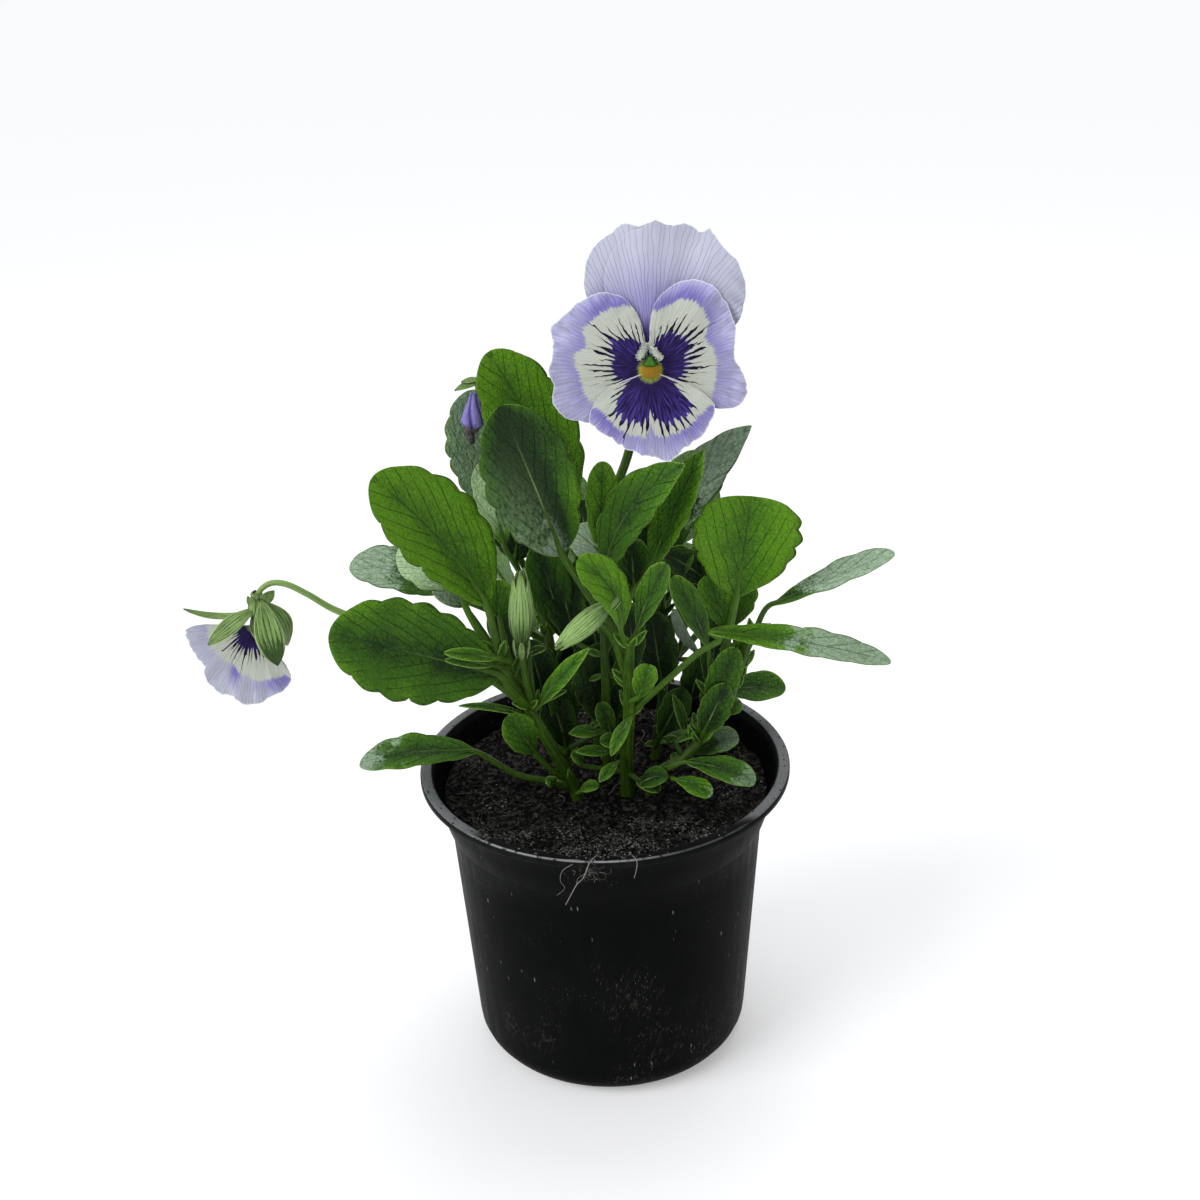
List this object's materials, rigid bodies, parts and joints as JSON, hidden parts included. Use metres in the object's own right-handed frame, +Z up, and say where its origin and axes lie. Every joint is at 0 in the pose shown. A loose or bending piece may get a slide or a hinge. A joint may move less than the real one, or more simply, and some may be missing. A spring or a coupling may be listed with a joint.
{
  "type": "potted pansy plant",
  "caption": "Flowering pansy with crenate leaves, one open bloom, a nodding bloom and buds, growing in soil in a round plastic nursery pot.",
  "frame": {"origin": "centre of the pot's underside, on the surface that it stands on", "axes": "+Z up along the pot's axis; -Y towards the viewer, the way the open bloom faces; +X to the viewer's right"},
  "size_m": [0.2204, 0.1264, 0.279],
  "materials": {
    "pot": "black injection-moulded plastic, dusty and finely scratched, satin",
    "soil": "dark peaty potting soil with crumbs and fibres, matte",
    "foliage": "fresh green leaf with a waxy sheen and fine veins",
    "petals_lavender": "pale lavender petal, violet towards the throat, finely veined",
    "petals_patterned": "off-white petal with a lavender edge and a dark violet rayed blotch",
    "petals_violet": "closed violet petals, soft and withered at the tip",
    "eye": "orange-yellow throat with a small green head"
  },
  "bodies": {
    "root": {"pot": "pot", "soil": "soil", "stem_left": "foliage", "stem_centre": "foliage", "stem_right": "foliage", "stem_back_left": "foliage", "stem_heart": "foliage", "stem_back_right": "foliage", "stem_back": "foliage", "stem_flowering": "foliage", "petal_back_left": "petals_lavender", "petal_back_right": "petals_lavender", "petal_side_left": "petals_patterned", "petal_side_right": "petals_patterned", "petal_lip": "petals_patterned", "flower_eye": "eye", "nodding_petal": "petals_patterned", "withered_petals": "petals_violet"}
  },
  "joints": []
}
